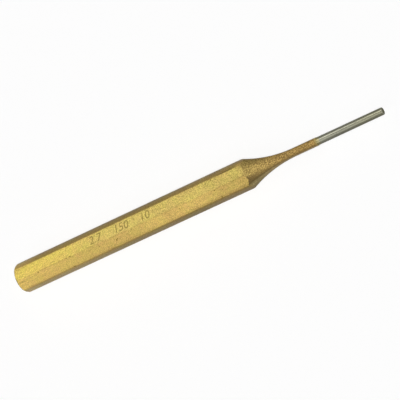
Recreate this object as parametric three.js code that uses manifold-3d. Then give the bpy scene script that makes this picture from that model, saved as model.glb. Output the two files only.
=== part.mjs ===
// Pin punch for driving out cotter pins and split pins.
// The tool is one steel blank: an octagonal bar whose struck end is chamfered on a lathe and whose
// working end is turned down, through a concave taper, to a slim round pin. A film of gold lacquer
// coats the blank from the struck face to just past the taper, and the pin beyond it is ground bright.
// Millimetres, +Z up. The punch lies on one flat of its shank, with the pin towards +X. The origin is
// on the surface that it lies on, midway along the tool.

import * as THREE from "three";
import { mergeVertices } from "three/addons/utils/BufferGeometryUtils.js";
import Module from "manifold-3d";

const wasm = await Module();
wasm.setup();

// Driving dimensions of the steel blank
const BAR_FLATS = 10; // octagonal bar, across flats
const SHANK_LENGTH = 96; // struck face to the start of the taper at the bar's corners
const HEAD_CHAMFER = 0.65; // 45 degree chamfer round the struck face, measured at the corners
const TAPER_LENGTH = 19; // concave arc from the bar's corners to the pin
const PIN_LENGTH = 35; // parallel-looking working end
const PIN_ROOT_DIAMETER = 2.8;
const PIN_TIP_DIAMETER = 2.66; // a 3 mm punch is ground under size, and a little less at the tip
const TIP_CHAMFER = 0.15;

// Driving dimensions of the lacquer
const LACQUER_THICKNESS = 0.08;
const LACQUER_CLEARANCE = 0.02; // keeps the film's inner skin just off the steel
const BARE_PIN_LENGTH = 25.6; // ground end of the pin, where the film stops

// Fineness of the round surfaces
const BAR_SIDES = 8;
const ROUND_STEPS = 48; // a multiple of BAR_SIDES, so that every corner and flat is cut alike
const ARC_STEPS = 14;
const CUT_MARGIN = 0.5; // how far the turned outline stands off the bar where it cuts nothing

// Places along the axis, from the struck steel face at 0
const LACQUER_OUTSIDE = LACQUER_CLEARANCE + LACQUER_THICKNESS;
const PIN_START = SHANK_LENGTH + TAPER_LENGTH;
const BLANK_LENGTH = PIN_START + PIN_LENGTH;
const FILM_END = BLANK_LENGTH - BARE_PIN_LENGTH;
const AXIS_HEIGHT = BAR_FLATS / 2 + LACQUER_OUTSIDE;
const MIDDLE = (BLANK_LENGTH - LACQUER_OUTSIDE) / 2;

// Distance from the axis to a corner of the bar, once a skin of the given thickness is on it
function cornerRadius(skin) {
  return (BAR_FLATS / 2 + skin) / Math.cos(Math.PI / BAR_SIDES);
}

// The taper is the circular arc that meets the corners at the shoulder and runs tangent into the pin
const TAPER_DROP = cornerRadius(0) - PIN_ROOT_DIAMETER / 2;
const TAPER_RADIUS = (TAPER_LENGTH ** 2 + TAPER_DROP ** 2) / (2 * TAPER_DROP);

// Half section of what the lathe leaves, as (radius, place along the axis), offset outwards by a skin
function turnedOutline(skin) {
  const clear = cornerRadius(skin) + CUT_MARGIN;
  const face = -skin;
  const rim = cornerRadius(0) - HEAD_CHAMFER + skin * Math.tan(Math.PI / 8);
  const outline = [
    new THREE.Vector2(0, face),
    new THREE.Vector2(rim, face),
    new THREE.Vector2(clear, face + clear - rim),
  ];

  const arcCentre = PIN_ROOT_DIAMETER / 2 + TAPER_RADIUS;
  const arcRadius = TAPER_RADIUS - skin;
  const widest = Math.acos((arcCentre - clear) / arcRadius);
  for (let step = 0; step <= ARC_STEPS; step++) {
    const angle = widest * (1 - step / ARC_STEPS);
    const radius = arcCentre - arcRadius * Math.cos(angle);
    outline.push(new THREE.Vector2(radius, PIN_START - arcRadius * Math.sin(angle)));
  }

  const tip = PIN_TIP_DIAMETER / 2 + skin;
  const end = BLANK_LENGTH + skin;
  outline.push(new THREE.Vector2(tip, end - TIP_CHAMFER));
  outline.push(new THREE.Vector2(tip - TIP_CHAMFER, end));
  outline.push(new THREE.Vector2(0, end));
  return outline;
}

// Merges a geometry's shared corners and drops the triangles that shrink to nothing at the axis
function toSolid(geometry) {
  geometry.deleteAttribute("normal");
  geometry.deleteAttribute("uv");
  const merged = mergeVertices(geometry, 1e-4);
  const corners = merged.index.array;
  const kept = [];
  for (let i = 0; i < corners.length; i += 3) {
    const [a, b, c] = corners.slice(i, i + 3);
    if (a !== b && b !== c && c !== a) {
      kept.push(a, b, c);
    }
  }
  const mesh = new wasm.Mesh({
    numProp: 3,
    vertProperties: merged.attributes.position.array,
    triVerts: Uint32Array.from(kept),
  });
  return new wasm.Manifold(mesh);
}

function toGeometry(solid) {
  const mesh = solid.getMesh();
  const geometry = new THREE.BufferGeometry();
  geometry.setAttribute("position", new THREE.BufferAttribute(mesh.vertProperties, 3));
  geometry.setIndex(new THREE.BufferAttribute(mesh.triVerts, 1));
  geometry.computeVertexNormals();
  return geometry;
}

// Octagonal bar along X with one flat level, between two places on the axis
function bar(skin, from, to) {
  const outline = new THREE.Shape();
  for (let side = 0; side < BAR_SIDES; side++) {
    const angle = (2 * Math.PI * (side + 0.5)) / BAR_SIDES;
    const x = cornerRadius(skin) * Math.cos(angle);
    const y = cornerRadius(skin) * Math.sin(angle);
    if (side === 0) {
      outline.moveTo(x, y);
    } else {
      outline.lineTo(x, y);
    }
  }
  outline.closePath();
  const geometry = new THREE.ExtrudeGeometry(outline, { depth: to - from, bevelEnabled: false });
  geometry.rotateY(Math.PI / 2);
  geometry.translate(from, 0, 0);
  return toSolid(geometry);
}

// The whole tool, grown by a skin and cut off square at a place along the axis
function punch(skin, end) {
  const turned = new THREE.LatheGeometry(turnedOutline(skin), ROUND_STEPS);
  turned.rotateZ(-Math.PI / 2);
  return toSolid(turned).intersect(bar(skin, -skin - CUT_MARGIN, end));
}

function steelBlank() {
  return punch(0, BLANK_LENGTH + CUT_MARGIN);
}

function lacquerCoat() {
  const outside = punch(LACQUER_OUTSIDE, FILM_END);
  const inside = punch(LACQUER_CLEARANCE, FILM_END + CUT_MARGIN);
  return outside.subtract(inside);
}

function piece(name, solid, look) {
  const mesh = new THREE.Mesh(toGeometry(solid), new THREE.MeshStandardMaterial(look));
  mesh.name = name;
  return mesh;
}

const tool = new THREE.Group();
tool.position.set(-MIDDLE, 0, AXIS_HEIGHT);
tool.add(piece("steel_blank", steelBlank(), { color: 0x9a998a, roughness: 0.35, metalness: 0.95 }));
tool.add(piece("lacquer_coat", lacquerCoat(), { color: 0xceb463, roughness: 0.45, metalness: 0.3 }));

const part = new THREE.Group();
part.add(tool);

export default part;
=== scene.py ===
# %% [markdown]
# # A pin punch in gold lacquer
# The tool is one piece of steel: an octagonal bar whose struck end is chamfered on a lathe and whose
# other end is turned down, through a concave taper, to a slim pin. Gold lacquer covers it from the
# struck face to just past the taper, and the pin beyond is ground bright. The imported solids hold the
# true sizes, so this script reads them first and only gives the tool its surface.

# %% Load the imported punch
import math
import random
from types import SimpleNamespace

import bmesh
import bpy
from mathutils import Matrix, Vector


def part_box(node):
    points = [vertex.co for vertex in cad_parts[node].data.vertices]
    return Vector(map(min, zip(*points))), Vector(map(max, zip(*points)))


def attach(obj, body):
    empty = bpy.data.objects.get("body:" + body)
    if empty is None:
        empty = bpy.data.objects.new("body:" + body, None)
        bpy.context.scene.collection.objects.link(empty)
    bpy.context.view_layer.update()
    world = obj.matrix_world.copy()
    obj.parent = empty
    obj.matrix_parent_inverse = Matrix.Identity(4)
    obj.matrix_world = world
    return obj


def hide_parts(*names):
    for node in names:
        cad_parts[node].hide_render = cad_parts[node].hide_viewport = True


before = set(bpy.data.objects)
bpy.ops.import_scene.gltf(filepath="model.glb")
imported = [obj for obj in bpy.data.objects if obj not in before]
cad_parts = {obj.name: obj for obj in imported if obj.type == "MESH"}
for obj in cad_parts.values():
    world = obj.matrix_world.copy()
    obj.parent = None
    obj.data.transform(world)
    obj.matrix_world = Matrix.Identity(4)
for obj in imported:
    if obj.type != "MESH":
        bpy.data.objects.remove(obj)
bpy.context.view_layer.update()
print("packed nodes:", ", ".join(sorted(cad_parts)))

# %% [markdown]
# ## Sizes
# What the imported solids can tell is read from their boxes. The sizes inside those boxes, such as the
# length of the shank or the chamfer, are the maker's drawing sizes and are written once, here.
# Places along the tool are counted from the struck steel face.

# %% Sizes
MM = 0.001
steel_low, steel_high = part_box("steel_blank")
film_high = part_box("lacquer_coat")[1]

FACE_X = steel_low.x
AXIS_Z = (steel_low.z + steel_high.z) / 2
FLATS = steel_high.z - steel_low.z
BLANK_LENGTH = steel_high.x - steel_low.x
FILM_SKIN = film_high.z - steel_high.z
FILM_END = film_high.x - FACE_X

SHANK = 96 * MM
CHAMFER = 0.65 * MM
TAPER = 19 * MM
PIN_ROOT = 2.8 * MM
PIN_TIP = 2.66 * MM
TIP_CHAMFER = 0.15 * MM
FILM_CLEARANCE = 0.02 * MM
PIN_START = SHANK + TAPER

print(f"bar {FLATS / MM:.2f} mm across flats, {BLANK_LENGTH / MM:.1f} mm long")
print(f"lacquer stands {FILM_SKIN / MM:.2f} mm proud and ends at {FILM_END / MM:.1f} mm")

# %% [markdown]
# ## Camera
# In the photograph the bar shows two broad flats with a ridge between them, so the camera looks at the
# bar corner-on. The bar is also a little wider on the right, so the pin leans towards the camera. A
# camera can be moved by hand until the outlines agree. Here its axes are built from the tool's own
# axis instead, so that each angle is a named value: two for the direction and a third for the climb
# of the tool across the picture. A long lens gives the nearly parallel view of a product shot.

# %% Directions in the picture
TIP_NEARER = math.radians(22.5)
RIDGE_TURN = math.radians(22.5)
CLIMB = math.radians(24.92)


def leaning(along, across):
    """The direction that leans along the tool by one angle and forward of the top by another."""
    return Vector((
        math.sin(along),
        -math.cos(along) * math.sin(across),
        math.cos(along) * math.cos(across),
    ))


towards_camera = leaning(TIP_NEARER, RIDGE_TURN)
axis_on_picture = Vector((1, 0, 0)) - towards_camera * towards_camera.x
axis_on_picture.normalize()
across_picture = towards_camera.cross(axis_on_picture)
picture_right = axis_on_picture * math.cos(CLIMB) - across_picture * math.sin(CLIMB)
picture_up = axis_on_picture * math.sin(CLIMB) + across_picture * math.cos(CLIMB)
print("towards the camera:", [round(c, 3) for c in towards_camera])

# %% Camera
CAMERA_DISTANCE = 0.9225
CAMERA_LENS = 238.4
CAMERA_SENSOR = 36
CAMERA_NEAREST = 0.01
CAMERA_AIM = Vector((0.00066, -0.00118, 0.00463))


def new_object(name, data):
    """An object with this data, linked into the scene."""
    made = bpy.data.objects.new(name, data)
    bpy.context.scene.collection.objects.link(made)
    return made


camera = new_object("camera", bpy.data.cameras.new("camera"))
camera.data.lens = CAMERA_LENS
camera.data.sensor_width = CAMERA_SENSOR
camera.data.clip_start = CAMERA_NEAREST
camera_axes = Matrix((picture_right, picture_up, towards_camera)).transposed().to_4x4()
camera_place = CAMERA_AIM + towards_camera * CAMERA_DISTANCE
camera.matrix_world = Matrix.Translation(camera_place) @ camera_axes
bpy.context.scene.camera = camera
print("camera at", [round(c, 3) for c in camera.matrix_world.translation])

# %% [markdown]
# ## Arithmetic in a node tree
# Node trees do sums with one node for each sign, which soon fills the screen. The class below stands
# for one number in a tree and answers to Python's own signs, so a rule can be written as a formula
# and still end up as nodes that anyone can open and change.


# %% Numbers in a node tree
class Number:
    """One value in a node tree."""

    def __init__(self, tree, socket):
        self.tree = tree
        self.socket = socket

    def math(self, operation, *others):
        """This number, and any others, through one Math node."""
        node = self.tree.nodes.new("ShaderNodeMath")
        node.operation = operation
        for socket, value in zip(node.inputs, (self, *others)):
            plug(self.tree, value, socket)
        return Number(self.tree, node.outputs[0])

    def ramp(self, low, high, to_low=0.0, to_high=1.0):
        """A soft step from one value to another as this number passes from low to high."""
        node = self.tree.nodes.new("ShaderNodeMapRange")
        node.interpolation_type = "SMOOTHSTEP"
        for socket, value in zip(node.inputs, (self, low, high, to_low, to_high)):
            plug(self.tree, value, socket)
        return Number(self.tree, node.outputs["Result"])

    def band(self, low, high, soft):
        """One while this number is between two values, and a soft fall to zero at each."""
        return self.ramp(low - soft, low + soft) * self.ramp(high - soft, high + soft, 1.0, 0.0)

    def __add__(self, other):
        return self.math("ADD", other)

    def __sub__(self, other):
        return self.math("SUBTRACT", other)

    def __rsub__(self, other):
        return (self * -1.0) + other

    def __mul__(self, other):
        return self.math("MULTIPLY", other)

    def __truediv__(self, other):
        return self.math("DIVIDE", other)

    __radd__ = __add__
    __rmul__ = __mul__


def plug(tree, value, socket):
    """Links a number of the tree to a socket, or writes a plain value into it."""
    if isinstance(value, Number):
        tree.links.new(value.socket, socket)
    else:
        socket.default_value = value


# %% [markdown]
# ## The shape's rule
# Everything on this tool is either bar or lathe work, and the surface is wherever the smaller of the
# two radii lies: the octagon's or the turned outline's. Their soft minimum gives the scalloped edge at
# the chamfer and the rounded tongues where the flats run out into the taper, as on the real tool.
# Modelling those by hand would mean eight equal curves, so a Geometry Nodes tree holds the rule. The
# mesh it works on is a plain ladder of rings. Each point carries its place along the tool, the skin
# that it stands off the steel, its turn round the axis and the share of the way out that it reaches.

# %% A tree with named sizes
FIELDS = ("along", "skin", "turn", "reach")


def new_tree(name, numbers):
    """A tree with a mesh in and out, an input for each size, and one for the material."""
    tree = bpy.data.node_groups.new(name, "GeometryNodeTree")
    tree.interface.new_socket("Mesh", in_out="OUTPUT", socket_type="NodeSocketGeometry")
    kinds = [("Mesh", "NodeSocketGeometry"), ("Material", "NodeSocketMaterial")]
    kinds += [(label, "NodeSocketFloat") for label in numbers]
    for label, kind in kinds:
        tree.interface.new_socket(label, in_out="INPUT", socket_type=kind)
    entry = tree.nodes.new("NodeGroupInput")
    sizes = {label: Number(tree, entry.outputs[label]) for label in numbers}
    return tree, entry, sizes


def named(tree, name):
    """A field that the points of the mesh carry."""
    node = tree.nodes.new("GeometryNodeInputNamedAttribute")
    node.inputs["Name"].default_value = name
    return Number(tree, node.outputs["Attribute"])


def vector(tree, x, y, z):
    node = tree.nodes.new("ShaderNodeCombineXYZ")
    for socket, value in zip(node.inputs, (x, y, z)):
        plug(tree, value, socket)
    return node.outputs[0]


def unevenness(tree, x, y, z):
    """Smooth noise, from about 0 to 1, at a place in a space of its own."""
    node = tree.nodes.new("ShaderNodeTexNoise")
    node.inputs["Scale"].default_value = 1.0
    tree.links.new(vector(tree, x, y, z), node.inputs["Vector"])
    return Number(tree, node.outputs["Fac"])


def chain(tree, flow, kind, **settings):
    """Adds a geometry node after the last one and returns it."""
    node = tree.nodes.new(kind)
    for key, value in settings.items():
        setattr(node, key, value)
    tree.links.new(flow, node.inputs[0])
    return node


def keep_marks(tree, flow, marks):
    """Leaves named numbers on the points, for the finishes to read."""
    for name, value in marks.items():
        keep = chain(tree, flow, "GeometryNodeStoreNamedAttribute", data_type="FLOAT", domain="POINT")
        keep.inputs["Name"].default_value = name
        plug(tree, value, keep.inputs["Value"])
        flow = keep.outputs[0]
    return flow


def close(tree, entry, flow):
    """Ends a tree: real geometry, smooth, with its material."""
    smooth = chain(tree, flow, "GeometryNodeSetShadeSmooth")
    real = chain(tree, smooth.outputs[0], "GeometryNodeRealizeInstances")
    dressed = chain(tree, real.outputs[0], "GeometryNodeSetMaterial")
    tree.links.new(entry.outputs["Material"], dressed.inputs["Material"])
    end = tree.nodes.new("NodeGroupOutput")
    tree.links.new(dressed.outputs[0], end.inputs["Mesh"])


# %% [markdown]
# ### The bar
# The stock is octagonal bar. Its ridges are never quite sharp, and they are rounder where they have
# been knocked. A bevel would round all eight alike. The soft minimum of one flat and the next, with a
# round that follows a noise, wears each ridge in its own places.

# %% The octagonal bar
EIGHTH = math.tau / 8
RIDGE_SLOPE = math.tan(EIGHTH / 2)
WEAR_ALONG = 120.0
WEAR_ROUND = 2.0


def bar_radius(tree, size, along, turn, skin):
    """How far out the bar lies at a turn, and how far that place is from the nearest ridge."""
    half = size["Flats"] / 2.0 + skin
    flat_count = turn / EIGHTH
    from_middle = ((flat_count - flat_count.math("ROUND")) * EIGHTH).math("ABSOLUTE")
    flat = half / from_middle.math("COSINE")
    next_flat = half / (EIGHTH - from_middle).math("COSINE")
    side, top = turn.math("SINE"), turn.math("COSINE")
    wear = unevenness(tree, along * WEAR_ALONG, side * WEAR_ROUND, top * WEAR_ROUND).ramp(0.4, 0.75)
    ridge_round = size["Ridge round"] + size["Ridge wear"] * wear
    to_ridge = half * (RIDGE_SLOPE - from_middle.math("TANGENT"))
    return flat.math("SMOOTH_MIN", next_flat, ridge_round), to_ridge


print(f"a ridge stands {FLATS / 2 * (1 / math.cos(EIGHTH / 2) - 1) / MM:.2f} mm above a flat")

# %% [markdown]
# ### The lathe work
# A lathe chamfers the struck end, turns the concave taper and the pin, and breaks the edge at the tip.
# A profile could be spun round the axis for these, but it would still have to be cut by the bar. So
# each cut is written as a radius at a place along the tool, and the least of them is what is left.

# %% The lathe work
ARC_LIMIT = 1.2


def lathe_radius(size, along, skin):
    """How far out the lathe left metal: at the chamfer, the taper, the pin and the tip's edge."""
    corner = size["Flats"] / (2.0 * math.cos(EIGHTH / 2))
    chamfer = corner - size["Chamfer"] + skin * RIDGE_SLOPE + along + skin

    # The taper is an arc that starts at the bar's corner and runs tangent into the pin
    drop = corner - size["Pin root"] / 2.0
    radius = (size["Taper"] * size["Taper"] + drop * drop) / (drop * 2.0)
    pin_start = size["Shank"] + size["Taper"]
    before = (pin_start - along).math("MAXIMUM", 0.0).math("MINIMUM", size["Taper"] * ARC_LIMIT)
    arc = radius - skin
    neck = size["Pin root"] / 2.0 + radius - (arc * arc - before * before).math("SQRT")

    past = (along - pin_start).math("MAXIMUM", 0.0)
    thinning = (size["Pin root"] - size["Pin tip"]) / 2.0 / (size["Length"] - pin_start)
    tip = size["Pin tip"] / 2.0 + skin - size["Tip chamfer"] + size["Length"] + skin - along
    return chamfer.math("MINIMUM", neck - past * thinning).math("MINIMUM", tip)


# %% [markdown]
# ### The lacquer's edge
# Lacquer that is dipped, not masked, ends in a line that wanders a little round the pin. Moving the
# edge of a finished film would crease its thin wall. So the rule shifts the last rings along the tool
# by a noise before it works out anything else.

# %% The lacquer's edge
WANDER_STARTS = 1.6 * MM
WANDER_WAVES = 1.3


def with_wandering_edge(tree, size, along, turn, skin):
    """Places along the tool, shifted near the lacquer's edge and only on the film."""
    side, top = turn.math("SINE"), turn.math("COSINE")
    edge = unevenness(tree, side * WANDER_WAVES, top * WANDER_WAVES, size["Film seed"])
    near_edge = along.ramp(size["Film end"] - WANDER_STARTS, size["Film end"])
    is_film = skin.math("GREATER_THAN", 0.0)
    return along - edge * size["Film wander"] * near_edge * is_film


# %% [markdown]
# ### The whole rule
# The tree joins the bar and the lathe work and moves each point of the ladder to its place. It also
# leaves three marks for the finishes: how near a ridge is, where a flat runs out into lathe work, and
# where the lathe has been. A finish could guess these from the surface, but the rule knows them.

# %% The rule as a tree
BAR_SIZES = {
    "Flats": FLATS,
    "Shank": SHANK,
    "Chamfer": CHAMFER,
    "Taper": TAPER,
    "Pin root": PIN_ROOT,
    "Pin tip": PIN_TIP,
    "Length": BLANK_LENGTH,
    "Tip chamfer": TIP_CHAMFER,
    "Axis height": AXIS_Z,
    "Face place": FACE_X,
    "Ridge round": 0.1 * MM,
    "Ridge wear": 0.1 * MM,
    "Edge round": 0.1 * MM,
    "Ridge band": 0.35 * MM,
    "Film end": FILM_END,
    "Film wander": 0.5 * MM,
    "Film seed": 4.0,
}
TURNED_DEPTH = 0.06 * MM
RUN_OUT_DEPTH = 0.3 * MM


def bar_and_lathe_tree():
    tree, entry, size = new_tree("bar_and_lathe", BAR_SIZES)
    along, skin, turn, reach = (named(tree, name) for name in FIELDS)
    along = with_wandering_edge(tree, size, along, turn, skin)
    bar, to_ridge = bar_radius(tree, size, along, turn, skin)
    lathe = lathe_radius(size, along, skin)

    out = bar.math("SMOOTH_MIN", lathe, size["Edge round"]) * reach
    x = along + size["Face place"]
    y = out * turn.math("SINE")
    z = out * turn.math("COSINE") + size["Axis height"]
    moved = chain(tree, entry.outputs["Mesh"], "GeometryNodeSetPosition")
    tree.links.new(vector(tree, x, y, z), moved.inputs["Position"])

    cut_away = bar - lathe
    turned = cut_away.ramp(0.0, TURNED_DEPTH)
    marks = {
        "ridge": to_ridge.ramp(0.0, size["Ridge band"], 1.0, 0.0) * (1.0 - turned),
        "turned": turned,
        "run_out": cut_away.ramp(-RUN_OUT_DEPTH, 0.0),
    }
    close(tree, entry, keep_marks(tree, moved.outputs[0], marks))
    return tree


bar_and_lathe = bar_and_lathe_tree()
print(f"rule tree: {len(bar_and_lathe.nodes)} nodes, {len(BAR_SIZES)} named sizes")

# %% [markdown]
# ### Ladders of rings
# A ladder is a list of rings from the middle of one end face to the middle of the other. A cylinder
# with even cuts would need far more points for the same edges. Here the rings are close where the
# surface bends and far apart along the plain shank, and their points crowd towards the ridges, where a
# corner has to be round.

# %% Ladders of rings
POINTS_PER_FLAT = 20
CROWDING = 0.8


def ring_turns():
    """The turns of one ring's points, from flat to flat."""
    turns = []
    for flat in range(8):
        for step in range(POINTS_PER_FLAT):
            share = 2 * step / POINTS_PER_FLAT - 1
            eased = CROWDING * math.sin(share * math.pi / 2) + (1 - CROWDING) * share
            turns.append((flat + eased / 2) * EIGHTH)
    return turns


def stretches(start, stops, skin):
    """Rings (place, skin, reach) from a start through several stops, with a step for each."""
    rings = []
    for stop, step in stops:
        count = max(1, round(abs(stop - start) / step))
        rings += [(start + (stop - start) * i / count, skin, 1.0) for i in range(count)]
        start = stop
    return rings


def disc(place, skin, reaches):
    """Rings of an end face, which all lie at one place."""
    return [(place, skin, reach) for reach in reaches]


def ladder(name, rings):
    """A closed tube of rings whose first and last are single points. The tree puts them in place."""
    turns = ring_turns()
    wide = len(turns)
    fields = {field: [] for field in FIELDS}
    starts = []
    for along, skin, reach in rings:
        starts.append(len(fields["along"]))
        for turn in turns if reach > 0 else turns[:1]:
            for field, value in zip(FIELDS, (along, skin, turn, reach)):
                fields[field].append(value)
    faces = []
    for i in range(len(rings) - 1):
        here, there = starts[i], starts[i + 1]
        for j in range(wide):
            k = (j + 1) % wide
            if i == 0:
                faces.append((here, there + j, there + k))
            elif i == len(rings) - 2:
                faces.append((here + j, there, here + k))
            else:
                faces.append((here + j, there + j, there + k, here + k))
    mesh = bpy.data.meshes.new(name)
    mesh.from_pydata([(0, 0, 0)] * len(fields["along"]), [], faces)
    for field, values in fields.items():
        mesh.attributes.new(field, "FLOAT", "POINT").data.foreach_set("value", values)
    return mesh


print(f"{len(ring_turns())} points to a ring")


# %% Growing a piece from a ladder
def finished_mesh(made):
    """A plain mesh of an object as its modifiers, or its curve, leave it."""
    shown = made.evaluated_get(bpy.context.evaluated_depsgraph_get())
    return bpy.data.meshes.new_from_object(shown)


def grow(name, mesh, tree, material, values):
    """Runs a tree on a mesh and returns its result as a plain piece at the origin."""
    source = new_object(name + "_source", mesh)
    modifier = source.modifiers.new(name, "NODES")
    modifier.node_group = tree
    for item in tree.interface.items_tree:
        if item.in_out == "INPUT" and item.name == "Material":
            modifier[item.identifier] = material
        elif item.in_out == "INPUT" and item.name in values:
            modifier[item.identifier] = values[item.name]
    made = finished_mesh(source)
    bpy.data.objects.remove(source)
    made.name = name
    for field in FIELDS:
        made.attributes.remove(made.attributes[field])
    print(f"{name}: {len(made.vertices)} points, {len(made.polygons)} faces")
    return new_object(name, made)


# %% [markdown]
# ## Finishes
# Every finish reads a point's place on the tool: how far along from the struck face, in millimetres,
# and how far forward of the top, in degrees. A grain so keeps its real size. An image could hold the
# same mottle, but it would have to be unwrapped and would blur close up. Soft clouds of noise at
# several sizes do not, and the shape's own marks say where ridges and lathe work are. In the formulas,
# ramp(a, b, p, q) reads: from a to b, the value goes from p to q.


# %% Tools for the finishes
def new_finish(name):
    """A new material, its tree and its shader."""
    material = bpy.data.materials.new(name)
    material.use_nodes = True
    tree = material.node_tree
    return material, tree, tree.nodes["Principled BSDF"]


def place_in_mm(tree):
    """The point's own coordinates, in millimetres."""
    where = tree.nodes.new("ShaderNodeTexCoord")
    scaled = tree.nodes.new("ShaderNodeVectorMath")
    scaled.operation = "SCALE"
    scaled.inputs["Scale"].default_value = 1 / MM
    tree.links.new(where.outputs["Object"], scaled.inputs[0])
    return scaled.outputs[0]


def places_on_tool(tree, place):
    """How far along the tool a point is, in millimetres, and how far forward of the top, in degrees."""
    parts = tree.nodes.new("ShaderNodeSeparateXYZ")
    tree.links.new(place, parts.inputs[0])
    x, y, z = (Number(tree, socket) for socket in parts.outputs)
    forward = (y * -1.0).math("ARCTAN2", z - AXIS_Z / MM)
    return x - FACE_X / MM, forward * math.degrees(1)


def cloud(tree, place, per_mm, detail=2.0, spread=(1, 1, 1), offset=(0, 0, 0)):
    """Noise with so many grains to the millimetre, drawn out along any axis whose spread is small."""
    mapping = tree.nodes.new("ShaderNodeMapping")
    mapping.inputs["Scale"].default_value = [s * per_mm for s in spread]
    mapping.inputs["Location"].default_value = offset
    tree.links.new(place, mapping.inputs["Vector"])
    noise = tree.nodes.new("ShaderNodeTexNoise")
    noise.inputs["Scale"].default_value = 1.0
    noise.inputs["Detail"].default_value = detail
    tree.links.new(mapping.outputs[0], noise.inputs["Vector"])
    return Number(tree, noise.outputs["Fac"])


def mark(tree, name):
    """A mark that the shape's rule left on the points."""
    node = tree.nodes.new("ShaderNodeAttribute")
    node.attribute_name = name
    return Number(tree, node.outputs["Fac"])


# %% Mixing colours and adding bumps
def mix(tree, share, a, b, blend="MIX"):
    """A colour between two, or one tinted with the other. Each is a socket or three numbers."""
    node = tree.nodes.new("ShaderNodeMix")
    node.data_type = "RGBA"
    node.blend_type = blend
    plug(tree, share, node.inputs["Factor"])
    for value, name in ((a, "A"), (b, "B")):
        if isinstance(value, tuple):
            node.inputs[name].default_value = (*value, 1)
        else:
            tree.links.new(value, node.inputs[name])
    return node.outputs["Result"]


def lit(tree, colour, share):
    """The colour, times a number."""
    node = tree.nodes.new("ShaderNodeVectorMath")
    node.operation = "SCALE"
    tree.links.new(colour, node.inputs[0])
    plug(tree, share, node.inputs["Scale"])
    return node.outputs[0]


def bumps(tree, shader, height, depth):
    """Raises the surface by a number, up to a depth."""
    node = tree.nodes.new("ShaderNodeBump")
    node.inputs["Distance"].default_value = depth
    plug(tree, height, node.inputs["Height"])
    tree.links.new(node.outputs[0], shader.inputs["Normal"])


# %% [markdown]
# ## Gold lacquer
# The lacquer is a thin tinted coat on steel. It could be one gold colour with a gloss, but on the real
# tool it changes from flat to flat, browns on the lathe work and carries a grain, scores and worn
# ridges. Much of its change from flat to flat and along the tool is painted light and shade. The
# finish builds these up one after the other, and this first cell collects what they all ask about a
# point.

# %% What the lacquer asks about a point
TOP_RIDGE = 22.5
LACQUER_CLOUDS = {
    "fine": {"per_mm": 3.3},
    "broad": {"per_mm": 0.3},
    "patch": {"per_mm": 0.12, "offset": (3, 1, 2)},
    "warm": {"per_mm": 0.3, "detail": 1.0, "offset": (5, 9, 2)},
    "drawn": {"per_mm": 2.2, "spread": (0.03, 1, 1)},
    "dragged": {"per_mm": 1.1, "detail": 1.0, "spread": (0.1, 1, 1), "offset": (4, 4, 6)},
    "speckle": {"per_mm": 2.8, "detail": 3.0, "offset": (7, 3, 5)},
}


def lacquer_point(tree):
    """A point's place on the tool, the shape's marks there, and the clouds of noise."""
    place = place_in_mm(tree)
    along, forward = places_on_tool(tree, place)
    lathe = mark(tree, "turned")
    towards_taper = along.ramp(60.0, 90.0)
    on_taper = lathe * towards_taper
    return SimpleNamespace(
        along=along,
        forward=forward,
        off_ridge=(forward - TOP_RIDGE).math("ABSOLUTE"),
        ridge=mark(tree, "ridge"),
        lathe=lathe,
        on_taper=on_taper,
        on_face=lathe * along.ramp(0.2, 1.2, 1.0, 0.0),
        under=on_taper * forward.band(47.0, 110.0, 12.0),
        run_out=mark(tree, "run_out") * towards_taper,
        **{name: cloud(tree, place, **how) for name, how in LACQUER_CLOUDS.items()},
    )


print("clouds in the lacquer:", ", ".join(LACQUER_CLOUDS))

# %% [markdown]
# ### Colour of the flats
# The level flat on top is yellower than the others. Near the struck end the flats are painted
# lighter, as painted light. The steep side flats are painted darker and browner, as painted shade, and
# go grey towards the outline, as a painted reflection of the white floor. Each flat could have a
# material of its own, but the colour runs on softly over the ridges, so one finish mixes the colours
# by direction.

# %% Colour of the flats
GOLD = (0.635, 0.505, 0.13)
GOLD_DEEP = (0.66, 0.47, 0.13)
GOLD_PAINTED_LIGHT = (0.67, 0.525, 0.105)
GOLD_SIDE_SHADE = (0.45, 0.315, 0.085)
GOLD_RIM_REFLECTION = (0.395, 0.318, 0.16)
WARM = (1.0, 0.94, 1.04)
SIDE_STARTS = 45.0
SIDE_ENDS = 90.0


def bar_colour(tree, at):
    """Colour of the flats and the struck face, with painted light and shade on the flats."""
    steep = at.forward.math("ABSOLUTE").ramp(17.0, 27.0)
    # Painted light: the flats are lighter towards the struck end
    colour = mix(tree, at.along.ramp(10.0, 45.0, 0.9, 0.0), GOLD, GOLD_PAINTED_LIGHT)
    colour = mix(tree, steep * 0.8 + (at.broad - 0.5) * 1.4, colour, GOLD_DEEP)
    # Painted shade on the steep side flats, greying towards the outline as a painted reflection
    painted_reflection_share = (at.off_ridge + at.forward.ramp(0.0, 60.0, -6.0, 8.0)).ramp(52.0, 85.0)
    side = mix(tree, painted_reflection_share, GOLD_SIDE_SHADE, GOLD_RIM_REFLECTION)
    side_starts = at.along.ramp(0.0, 9.0, 3.0, 0.0) + SIDE_STARTS
    colour = mix(tree, at.off_ridge.band(side_starts, SIDE_ENDS, 3.5), colour, side)
    colour = mix(tree, at.warm.ramp(0.35, 0.65), colour, WARM, "MULTIPLY")
    return mix(tree, at.on_face, colour, GOLD_DEEP)


# %% [markdown]
# ### Painted light and shade along the flats
# The flats are painted lighter towards the struck end, the lower side flat most of all, as painted
# light, and a little darker towards the taper, as painted shade. The upper side flat is painted darker
# all along, as painted shade. The coat is also lighter in one patch on the front flat and at one
# corner by the taper, and darker along the lower ridge. These could be painted on an unwrapped mesh.
# Here each is a soft band across the flats times a ramp along the tool, so it can be moved by its
# numbers.

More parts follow.
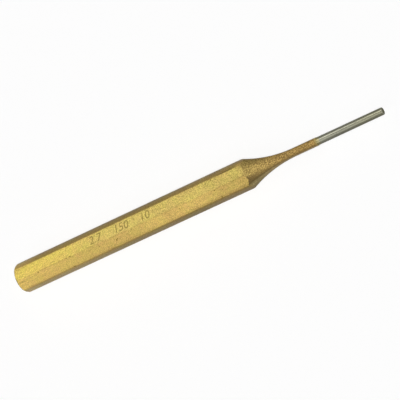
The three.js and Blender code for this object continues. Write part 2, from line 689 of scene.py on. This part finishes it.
# %% Painted light along the flats
TOP_FLAT = (-22.0, 22.0, 4.0)
FRONT_FLAT = (24.0, 66.0, 4.0)
UPPER_SIDE = (-67.5, -22.5, 3.5)
LOWER_SIDE = (67.5, 112.5, 3.5)
LOWER_RIDGE = (58.0, 72.0, 5.0)
LIGHTER_CORNER = (-40.0, -23.0, 4.0)
PATCH_MIDDLE = 67.0


def painted_light_and_coat(along, forward):
    """How much lighter the coat is made than its plain colour, and below zero how much darker, mostly
    as painted light and shade.
    """
    # Painted light towards the struck end, and painted shade on the upper side flat
    on_upper = along.ramp(1.0, 12.0, 0.46, 0.0) + along.ramp(50.0, 90.0, 0.0, 0.15) - 0.22
    on_lower = along.ramp(1.0, 8.0, 0.45, 0.0) + along.ramp(4.0, 75.0, 0.72, 0.19)
    on_top = along.ramp(62.0, 88.0, 0.0, -0.06)
    in_patch = (along - PATCH_MIDDLE).math("ABSOLUTE").ramp(5.0, 18.0, 0.14, 0.0)
    on_front = along.ramp(1.0, 8.0, 0.09, 0.0)
    on_ridge = along.ramp(8.0, 20.0, 0.0, -0.1) + along.ramp(50.0, 85.0, 0.0, -0.12)
    at_corner = along.band(94.3, 96.3, 0.6) * 0.28
    # Painted light all round: lighter by the struck end, darker towards the taper
    all_round = along.ramp(0.0, 50.0, 0.12, 0.0) + along.ramp(55.0, 95.0, 0.0, -0.06)
    all_round = all_round + along.ramp(0.5, 3.0, 0.06, 0.0)
    return (
        forward.band(*UPPER_SIDE) * on_upper
        + forward.band(*LOWER_SIDE) * on_lower
        + forward.band(*TOP_FLAT) * on_top
        + forward.band(*FRONT_FLAT) * in_patch
        + forward.band(*FRONT_FLAT) * on_front
        + forward.band(*LOWER_RIDGE) * on_ridge
        + forward.band(*LIGHTER_CORNER) * at_corner
        + all_round
    )


# %% [markdown]
# ### Colour of the taper and the neck
# On the lathe work the coat is thin: gold on the high spots, brown in the hollows and browner round
# the neck. A dark band of painted shade lies behind the front flat's end, the underside is painted
# greyer as a painted reflection of the white floor, and right at its edge the coat is pale. A second
# material would meet the first in a hard line, so the colours are mixed in where the rule says that
# the lathe has been.

# %% Colour of the taper and the neck
GOLD_TAPER = (0.56, 0.41, 0.125)
GOLD_BROWN = (0.26, 0.175, 0.055)
GOLD_NECK = (0.52, 0.335, 0.108)
NECK_BROWN = (0.24, 0.153, 0.052)
GOLD_EDGE = (0.44, 0.34, 0.125)
PAINTED_SHADE_BROWN = (0.165, 0.108, 0.04)
UNDERSIDE_REFLECTION = (1.06, 1.18, 1.78)
UNDERSIDE_SPAN = (67.0, 130.0, 15.0)
EDGE_THINS = 1.2
EDGE_PALE = 0.4


def taper_colour(tree, at, colour, lathe):
    """The flats' colour, changed where the lathe has been."""
    hollows = at.speckle.ramp(0.43, 0.57) * (1.0 - at.under * 0.6) + at.under * 0.3
    colour = mix(tree, lathe, colour, mix(tree, hollows, GOLD_BROWN, GOLD_TAPER))
    neck = mix(tree, hollows, NECK_BROWN, GOLD_NECK)
    colour = mix(tree, at.along.ramp(96.0, 112.0, 0.0, 0.9), colour, neck)

    # Painted shade: a dark brown band on the taper behind the front flat's end
    painted_shade_share = at.along.ramp(97.0, 102.0, 0.86, 0.68)
    from_painted_shade = (at.forward - at.along.ramp(97.0, 112.0, 48.5, 63.0)).math("ABSOLUTE")
    painted_shade_band = from_painted_shade.ramp(5.0, 23.0, painted_shade_share, 0.0) * at.along.ramp(97.0, 113.0, 1.0, 0.0)
    colour = mix(tree, painted_shade_band * lathe, colour, PAINTED_SHADE_BROWN)

    # Painted reflection of the white floor: the taper's underside is made greyer
    under = at.forward.band(*UNDERSIDE_SPAN)
    colour = mix(tree, under * lathe, colour, UNDERSIDE_REFLECTION, "MULTIPLY")
    end = FILM_END / MM
    at_edge = at.along.ramp(end - EDGE_THINS, end - EDGE_PALE * EDGE_THINS)
    return mix(tree, at_edge, colour, GOLD_EDGE)


# %% [markdown]
# ### Grain, wear and painted light
# Close up the coat has a fine grain, dark specks and broad patches. Scores and drag marks run from the
# struck end, one long score lies near the taper, the ridges are rubbed and the struck end's rim is
# darker. Scratches could be cut as grooves, but most are finer than the mesh. All of these only
# change how light the coat is, so they come together in one number. That number also holds painted
# light: a painted highlight on the rims of the flats' tongues by the taper, a painted highlight where
# the taper's shoulder faces the lamps with painted shade round its sides, painted shade on the neck's
# lower front, and the painted light of the flats from above.

# %% Grain, wear and painted light
LONG_SCORE = TOP_RIDGE + 1.8
RIM_LIGHT = 0.12


def grain_of(at):
    """The grain, specks and patches, above and below zero."""
    off_top = at.forward.math("ABSOLUTE")
    coarse = at.along.ramp(5.0, 90.0, 1.5, 2.0) * off_top.ramp(18.0, 27.0, 1.2, 0.95)
    grain = (at.fine - 0.5) * coarse - at.speckle.ramp(0.3, 0.38, 0.12, 0.0)
    patches = (at.patch - 0.5) * at.along.ramp(20.0, 90.0, 0.1, 0.5)
    return grain * (1.0 - at.under * 0.5) + patches


def wear_of(at):
    """The share of its light that the coat loses to scores, rubbed ridges and a darker struck rim."""
    rubbed = at.broad.ramp(0.35, 0.65, 0.03, 0.2) * at.along.ramp(3.0, 9.0, 0.5, 1.0)
    rim_only = at.along.ramp(-0.1, 0.1, 0.3, 1.0) * at.along.ramp(1.0, 2.0, 0.42, 0.0)
    scored = at.drawn.ramp(0.53, 0.68) * at.along.ramp(2.0, 22.0, 0.22, 0.05)
    dragged = at.dragged.ramp(0.5, 0.6) * at.along.ramp(2.0, 5.5, 0.15, 0.0)
    off_score = (at.forward + LONG_SCORE).math("ABSOLUTE")
    long_score = off_score.ramp(1.5, 4.5, 0.5, 0.0) * at.along.band(87.6, 93.0, 0.8)
    return at.ridge * rubbed + at.lathe * rim_only + scored + dragged + long_score


def lightness(at, thin_end):
    """The number that the coat's colour is multiplied by, painted light and shade included."""
    # Painted highlight on the rims of the flats' tongues by the taper
    rim = at.run_out.ramp(0.6, 0.95) * (1.0 - at.lathe) * (1.0 - thin_end) * RIM_LIGHT
    # Painted highlight where the taper's shoulder faces the lamps, painted shade round its sides
    shoulder_painted_light = at.along.ramp(100.0, 106.0, 1.0, 0.0) * at.off_ridge.ramp(28.0, 45.0, 0.15, -0.09)
    # Painted shade on the neck's lower front
    neck_painted_shade = at.along.ramp(111.0, 117.0, 0.0, -0.16) * at.forward.band(34.0, 66.0, 13.0)
    light_and_coat = painted_light_and_coat(at.along, at.forward) * (1.0 - at.on_face)
    light_and_coat = light_and_coat + at.on_taper * shoulder_painted_light + at.on_taper * neck_painted_shade + 1.0
    return (grain_of(at) + 1.0) * light_and_coat * (1.0 - wear_of(at) + rim)


# %% [markdown]
# ### The whole finish
# Where two of the flats end, the coat thins a little before the lathe work begins, so the taper's
# colour starts there already. The gloss is low and uneven, as on a coat that has been handled, and a
# shallow bump gives the grain some relief.

# %% Gold lacquer
TOP_END = (-22.0, 20.0, 3.0)
FRONT_END = (47.5, 68.0, 5.0)
LACQUER_ROUGHNESS = 0.42
LACQUER_SPECULAR = 0.03
LACQUER_RELIEF = 0.008 * MM


def gold_lacquer():
    material, tree, shader = new_finish("gold_lacquer")
    at = lacquer_point(tree)
    thin_end = at.run_out * at.forward.band(*TOP_END) * 0.8
    thin_end = thin_end + at.run_out.ramp(0.68, 0.86) * at.forward.band(*FRONT_END)
    colour = bar_colour(tree, at)
    colour = taper_colour(tree, at, colour, at.on_taper.math("MAXIMUM", thin_end))
    tree.links.new(lit(tree, colour, lightness(at, thin_end)), shader.inputs["Base Color"])

    roughness = at.fine * 0.16 + at.on_taper * 0.08 + LACQUER_ROUGHNESS
    glint = at.speckle.ramp(0.58, 0.7, 0.0, 0.2) + at.on_taper * 0.06
    plug(tree, roughness, shader.inputs["Roughness"])
    plug(tree, glint, shader.inputs["Metallic"])
    shader.inputs["Specular IOR Level"].default_value = LACQUER_SPECULAR
    relief = at.fine * 0.7 + at.drawn * 0.5 + at.speckle * at.on_taper
    bumps(tree, shader, relief, LACQUER_RELIEF)
    return material


gold = gold_lacquer()
print(f"gold lacquer: {len(gold.node_tree.nodes)} nodes")

# %% [markdown]
# ## Ground steel
# The bare pin was ground, which leaves fine rings round it and spreads a reflection along it. Real
# grooves would need far too many faces. Noise drawn out round the pin gives a slight bump instead, and
# an anisotropic gloss does the spreading. Beside the lacquer the steel is stained yellow, and the
# broken edge at the tip is polished.

# %% Ground steel
STEEL = (0.123, 0.122, 0.093)
STEEL_PALE = (0.170, 0.168, 0.129)
STEEL_STAINED = (0.2, 0.172, 0.08)
STEEL_POLISHED = (0.29, 0.285, 0.24)
WORKED_TINT = (1.0, 0.99, 0.9)
EDGE_TINT = (0.45, 0.45, 0.42, 1)
STAIN = 1.3
STAIN_FULL = 0.2
STEEL_ROUGHNESS = 0.28
STEEL_RELIEF = 0.004 * MM
GLOSS_SPREAD = 0.7
GLOSS_TURN = 0.25


def steel_colour(tree, along, mottle):
    """Pale by the lacquer, warmer where the pin has worked, stained at one end, bright at the other."""
    edge = FILM_END / MM
    tip = BLANK_LENGTH / MM
    colour = mix(tree, mottle.ramp(0.38, 0.62), STEEL, STEEL_PALE)
    colour = lit(tree, colour, along.ramp(edge + 2.0, edge + 9.0, 1.12, 1.0))
    colour = mix(tree, along.ramp(edge + 8.0, edge + 22.0), colour, WORKED_TINT, "MULTIPLY")
    stain = along.ramp(edge + STAIN_FULL * STAIN, edge + STAIN, 0.9, 0.0)
    colour = mix(tree, stain, colour, STEEL_STAINED)
    return mix(tree, along.band(tip - 0.15, tip - 0.03, 0.03), colour, STEEL_POLISHED)


def ground_steel():
    material, tree, shader = new_finish("ground_steel")
    place = place_in_mm(tree)
    along = places_on_tool(tree, place)[0]
    rings = cloud(tree, place, 6.0, spread=(1, 0.05, 0.05))
    lines = cloud(tree, place, 4.0, spread=(0.04, 1, 1))
    grain = cloud(tree, place, 3.0, detail=3.0)
    colour = steel_colour(tree, along, grain * 0.5 + lines * 0.5)
    tree.links.new(colour, shader.inputs["Base Color"])
    shader.inputs["Metallic"].default_value = 1.0
    shader.inputs["Specular Tint"].default_value = EDGE_TINT
    plug(tree, rings * 0.1 + grain * 0.1 + STEEL_ROUGHNESS, shader.inputs["Roughness"])
    bumps(tree, shader, rings + lines * 0.5, STEEL_RELIEF)

    # Grinding rings round the pin spread a reflection along it
    tangent = tree.nodes.new("ShaderNodeTangent")
    tangent.direction_type = "RADIAL"
    tangent.axis = "X"
    tree.links.new(tangent.outputs[0], shader.inputs["Tangent"])
    shader.inputs["Anisotropic"].default_value = GLOSS_SPREAD
    shader.inputs["Anisotropic Rotation"].default_value = GLOSS_TURN
    return material


steel = ground_steel()
print(f"ground steel: {len(steel.node_tree.nodes)} nodes")

# %% [markdown]
# ## Inside the figures and pits
# Where a stamp or a knock has pressed the coat in, it is darker and duller; in the stamped figures
# that darkness is painted shade. A dark patch in the main finish would not follow the edge of the
# recess. So each kind of recess has a small finish of its own, which the cut below hands over from
# the cutter to the film.

# %% Finishes inside the stamped figures and the pits
# Painted shade inside the stamped figures
STAMPED_SHADE_DARK = (0.28, 0.21, 0.055)
STAMPED_SHADE_PALE = (0.37, 0.28, 0.078)
PIT_DARK = (0.17, 0.115, 0.018)
PIT_LIGHT = (0.25, 0.175, 0.03)
RECESS_ROUGHNESS = 0.5
RECESS_SPECULAR = 0.05


def recess(name, dark, light):
    """A dull, mottled finish between two colours."""
    material, tree, shader = new_finish(name)
    place = place_in_mm(tree)
    mottle = cloud(tree, place, 3.0).ramp(0.35, 0.65)
    tree.links.new(mix(tree, mottle, dark, light), shader.inputs["Base Color"])
    plug(tree, cloud(tree, place, 5.0) * 0.2 + RECESS_ROUGHNESS, shader.inputs["Roughness"])
    shader.inputs["Specular IOR Level"].default_value = RECESS_SPECULAR
    print(f"{name}: {len(tree.nodes)} nodes")
    return material


stamped_recess_shade = recess("stamped_recess_shade", STAMPED_SHADE_DARK, STAMPED_SHADE_PALE)
pitted_recess = recess("pitted_recess", PIT_DARK, PIT_LIGHT)

# %% [markdown]
# ## Lacquer
# The film is a real skin, just under a tenth of a millimetre. A thickened surface would do for most,
# but its edge on the pin has to be round and its inside needs few faces. So its ladder goes out along
# the outside of the tool, turns in at the edge and comes back along the inside, as one closed shell.

# %% Lacquer film
FACE_EDGE = 0.04 * MM
CHAMFER_ENDS = 1.1 * MM
PLAIN_STARTS = 2 * MM
PLAIN_ENDS = 94 * MM
RUN_OUT_ENDS = 100 * MM
ROUND_EDGE = 0.6

# Each stretch is the place where it ends and the step between its rings
film_outside = (
    (CHAMFER_ENDS, 0.06 * MM),
    (PLAIN_STARTS, 0.3 * MM),
    (PLAIN_ENDS, 1.0 * MM),
    (RUN_OUT_ENDS, 0.08 * MM),
    (PIN_START, 0.3 * MM),
    (FILM_END - WANDER_STARTS, 0.4 * MM),
    (FILM_END, 0.1 * MM),
)
film_inside = (
    (PIN_START, 0.5 * MM),
    (PLAIN_ENDS, 0.7 * MM),
    (PLAIN_STARTS, 8 * MM),
    (-FILM_CLEARANCE, 0.2 * MM),
)
film_rings = (
    disc(-FILM_SKIN, FILM_SKIN, (0, 0.2, 0.4, 0.6, 0.8, 0.92, 0.98))
    + stretches(-FILM_SKIN + FACE_EDGE, film_outside, FILM_SKIN)
    + [(FILM_END, FILM_SKIN * ROUND_EDGE, 1.0)]
    + stretches(FILM_END, film_inside, FILM_CLEARANCE)
    + disc(-FILM_CLEARANCE, FILM_CLEARANCE, (0.98, 0.6, 0))
)
film_ladder = ladder("film_ladder", film_rings)
film = grow("gold_lacquer_film", film_ladder, bar_and_lathe, gold, BAR_SIZES)

# %% [markdown]
# ## Size figures and pits
# The shank carries its sizes in small stamped figures: the pin, the length and the bar, in
# millimetres. The lacquer also has a few small pits and chipped ridges. A bump in the finish would
# lose both in the exported mesh, so they are cut into the film as real recesses, less deep than the
# film is thick: the figures with one boolean and the pits with another, each with its own finish.

# %% Cutters for the figures
FIGURES = (("2.7", 35.2), ("150", 46.4), ("10", 56.4))
FIGURE_HEIGHT = 2.95 * MM
FIGURE_SLANT = 0.12
HALF_THICK = 0.5
CUT_DEPTH = 0.055 * MM


def figure_cutter(text, along):
    """A solid in the shape of the text, standing in the top flat with its middle at a place."""
    curve = bpy.data.curves.new("figure", "FONT")
    curve.body = text
    curve.shear = FIGURE_SLANT
    curve.extrude = HALF_THICK
    writing = new_object("figure", curve)
    mesh = finished_mesh(writing)
    bpy.data.objects.remove(writing)
    points = [v.co for v in mesh.vertices]
    low, high = (Vector(pick(p[i] for p in points) for i in range(3)) for pick in (min, max))
    scale = FIGURE_HEIGHT / (high.y - low.y)
    middle = Matrix.Translation(-(low + high) / 2)
    size = Matrix.Diagonal((scale, scale, 2 * CUT_DEPTH, 1))
    mesh.transform(Matrix.Translation((FACE_X + along * MM, 0, film_high.z)) @ size @ middle)
    return mesh


figures = [figure_cutter(text, along) for text, along in FIGURES]
print("figures:", ", ".join(text for text, along in FIGURES))

# %% Cutters for the pits
# Place along in millimetres, degrees forward of the top, and radius in millimetres
PITS = (
    (9.6, 27.0, 0.24),
    (22.0, 22.3, 0.2),
    (23.4, 22.5, 0.5),
    (23.0, -22.4, 0.38),
    (23.0, 67.4, 0.48),
    (35.6, 36.0, 0.16),
    (42.5, 42.5, 0.31),
    (43.0, 38.5, 0.2),
    (69.4, 36.0, 0.2),
    (83.9, -17.5, 0.22),
    (84.3, 27.0, 0.19),
    (85.3, 62.0, 0.22),
    (86.9, 38.0, 0.17),
    (91.9, 9.0, 0.18),
    (92.3, 22.5, 0.16),
)
FAR_PITS = 16
FAR_SEED = 11
FAR_ALONG = (6, 92)
FAR_FORWARD = (95, 325)
FAR_RADIUS = (0.15, 0.3)
RIDGE_WORN = 0.04 * MM
RIDGE_REACH = 0.3 * MM
PIT_DETAIL = 3


def far_pits():
    """Pits scattered over the far side."""
    chance = random.Random(FAR_SEED)
    ranges = (FAR_ALONG, FAR_FORWARD, FAR_RADIUS)
    return [tuple(chance.uniform(*span) for span in ranges) for _ in range(FAR_PITS)]


def pit_cutter(along, forward, radius):
    """A ball above the surface that dips into it by the depth of a pit."""
    ball = (radius * radius * MM * MM + CUT_DEPTH * CUT_DEPTH) / (2 * CUT_DEPTH)
    turn = math.radians(forward)
    from_middle = turn - EIGHTH * round(turn / EIGHTH)
    half = film_high.z - AXIS_Z
    to_ridge = half * (RIDGE_SLOPE - math.tan(abs(from_middle)))
    worn = RIDGE_WORN * max(0, 1 - to_ridge / RIDGE_REACH)
    reach = half / math.cos(from_middle) - worn - CUT_DEPTH + ball
    centre = Vector((FACE_X + along * MM, -reach * math.sin(turn), AXIS_Z + reach * math.cos(turn)))
    mesh = bpy.data.meshes.new("pit")
    shape = bmesh.new()
    place = Matrix.Translation(centre)
    bmesh.ops.create_icosphere(shape, subdivisions=PIT_DETAIL, radius=ball, matrix=place)
    shape.to_mesh(mesh)
    shape.free()
    return mesh


pits = [pit_cutter(*pit) for pit in (*PITS, *far_pits())]
print(f"pits: {len(PITS)} in view and {FAR_PITS} on the far side")

# %% Cut them
MERGE_WITHIN = 0.0001 * MM


def joined(name, meshes, material):
    """One cutter from several closed meshes, with the finish that it leaves behind."""
    shape = bmesh.new()
    for mesh in meshes:
        shape.from_mesh(mesh)
    bmesh.ops.remove_doubles(shape, verts=shape.verts, dist=MERGE_WITHIN)
    bmesh.ops.recalc_face_normals(shape, faces=shape.faces)
    whole = bpy.data.meshes.new(name)
    shape.to_mesh(whole)
    shape.free()
    whole.materials.append(material)
    return new_object(name, whole)


def cut(piece, cutter):
    """Takes the cutter's shape out of the piece and removes the cutter."""
    modifier = piece.modifiers.new("cut", "BOOLEAN")
    modifier.operation = "DIFFERENCE"
    modifier.solver = "EXACT"
    modifier.material_mode = "TRANSFER"
    modifier.object = cutter
    mesh = finished_mesh(piece)
    piece.modifiers.clear()
    piece.data = mesh
    bpy.data.objects.remove(cutter)


uncut_faces = len(film.data.polygons)
cut(film, joined("figures", figures, stamped_recess_shade))
cut(film, joined("pits", pits, pitted_recess))
print(f"the film's {uncut_faces} faces became {len(film.data.polygons)}")

# %% [markdown]
# ## Steel
# The same rule with no skin is the steel itself. It could stop just inside the lacquer, but then the
# film would be a hollow shell round nothing. Only the ground pin shows, so that is where its rings are
# close; under the lacquer a few are enough.

# %% Steel blank
blank_outside = (
    (PLAIN_STARTS, 0.2 * MM),
    (PLAIN_ENDS, 8 * MM),
    (PIN_START, 0.6 * MM),
    (BLANK_LENGTH - TIP_CHAMFER, 0.25 * MM),
    (BLANK_LENGTH, 0.05 * MM),
)
blank_rings = (
    disc(0, 0, (0, 0.6, 0.98))
    + stretches(0, blank_outside, 0)
    + disc(BLANK_LENGTH, 0, (1, 0.85, 0.5, 0))
)
blank_ladder = ladder("blank_ladder", blank_rings)
blank = grow("ground_steel_blank", blank_ladder, bar_and_lathe, steel, BAR_SIZES)

# %% [markdown]
# ## Floor and light
# The studio is a white sweep. A white floor lit by strong lamps would throw so much light back that
# the flats facing sideways went pale. So, seen directly or in a reflection, the floor and the world
# are white, and for the light that they throw on the tool they count as grey and as a weak even glow.

# %% White surroundings
SEEN_WHITE = 0.99
FLOOR_BOUNCE = 0.1
FLOOR_HALF = 30.0
WORLD_LIGHT = 0.03


def seen_directly(tree):
    """One for what the camera sees, or sees in a mirror or through glass, and zero for other light."""
    path = tree.nodes.new("ShaderNodeLightPath")
    kinds = ("Camera", "Glossy", "Transmission")
    camera_ray, glossy, through = (Number(tree, path.outputs[f"Is {kind} Ray"]) for kind in kinds)
    return camera_ray.math("MAXIMUM", glossy).math("MAXIMUM", through)


def add_floor(half):
    material, tree, shader = new_finish("white_sweep")
    grey, white = (FLOOR_BOUNCE,) * 3, (SEEN_WHITE,) * 3
    tree.links.new(mix(tree, seen_directly(tree), grey, white), shader.inputs["Base Color"])
    shader.inputs["Roughness"].default_value = 1.0
    shader.inputs["Specular IOR Level"].default_value = 0.0
    mesh = bpy.data.meshes.new("floor")
    corners = [(-half, -half, 0), (half, -half, 0), (half, half, 0), (-half, half, 0)]
    mesh.from_pydata(corners, [], [(0, 1, 2, 3)])
    mesh.materials.append(material)
    floor = new_object("floor", mesh)


def add_world():
    world = bpy.data.worlds.new("studio")
    bpy.context.scene.world = world
    world.use_nodes = True
    tree = world.node_tree
    strength = seen_directly(tree) * (SEEN_WHITE - WORLD_LIGHT) + WORLD_LIGHT
    plug(tree, strength, tree.nodes["Background"].inputs["Strength"])
    tree.nodes["Background"].inputs["Color"].default_value = (1, 1, 1, 1)


add_floor(FLOOR_HALF)
add_world()
bpy.context.scene.view_settings.view_transform = "Standard"
print(f"floor: seen as {SEEN_WHITE}, throws back {FLOOR_BOUNCE}; world light {WORLD_LIGHT}")

# %% [markdown]
# ### Lamps
# A key lamp close to the camera's direction casts the short shadow. Two soft lamps from the struck
# end's side, one high and one lower in front, cast none and only model the flats. Area lamps would
# fall off along the tool, so all three are suns, each with its level given as the share of white that
# it lends the floor.

# %% Lamps
KEY_LEVEL = 0.40
SIDE_LEVEL = 0.40
LOW_LEVEL = 0.16


def add_lamp(name, along, across, spread, level, casts=True):
    """A lamp far away in one direction, giving an upward white surface the stated share of white."""
    towards = leaning(math.radians(along), math.radians(across))
    lamp = new_object(name, bpy.data.lights.new(name, "SUN"))
    lamp.data.angle = math.radians(spread)
    lamp.data.energy = math.pi * level / towards.z
    lamp.data.use_shadow = casts
    lamp.rotation_euler = towards.to_track_quat("Z", "Y").to_euler()
    print(f"{name}: strength {lamp.data.energy:.2f}")


add_lamp("key_lamp", along=21, across=22.2, spread=8, level=KEY_LEVEL)
add_lamp("side_lamp", along=-22, across=-16, spread=28, level=SIDE_LEVEL, casts=False)
add_lamp("low_lamp", along=-22, across=46, spread=34, level=LOW_LEVEL, casts=False)

# %% [markdown]
# ## Join the pieces to the frame
# Each piece rides on the tool's one body and stands for its imported solid, which is hidden. Edges
# sharper than a set angle stay crisp, such as the cut figures, and the rest shade softly.

# %% Join the pieces to the frame
SHARP_OVER = math.radians(35)
dressed_pieces = (
    (film, "lacquer_coat", "gold_lacquer"),
    (blank, "steel_blank", "ground_steel"),
)

for piece, node, slot in dressed_pieces:
    piece.data.set_sharp_from_angle(angle=SHARP_OVER)
    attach(piece, "root")
    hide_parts(node)
    print(f"{piece.name} stands for {node}")
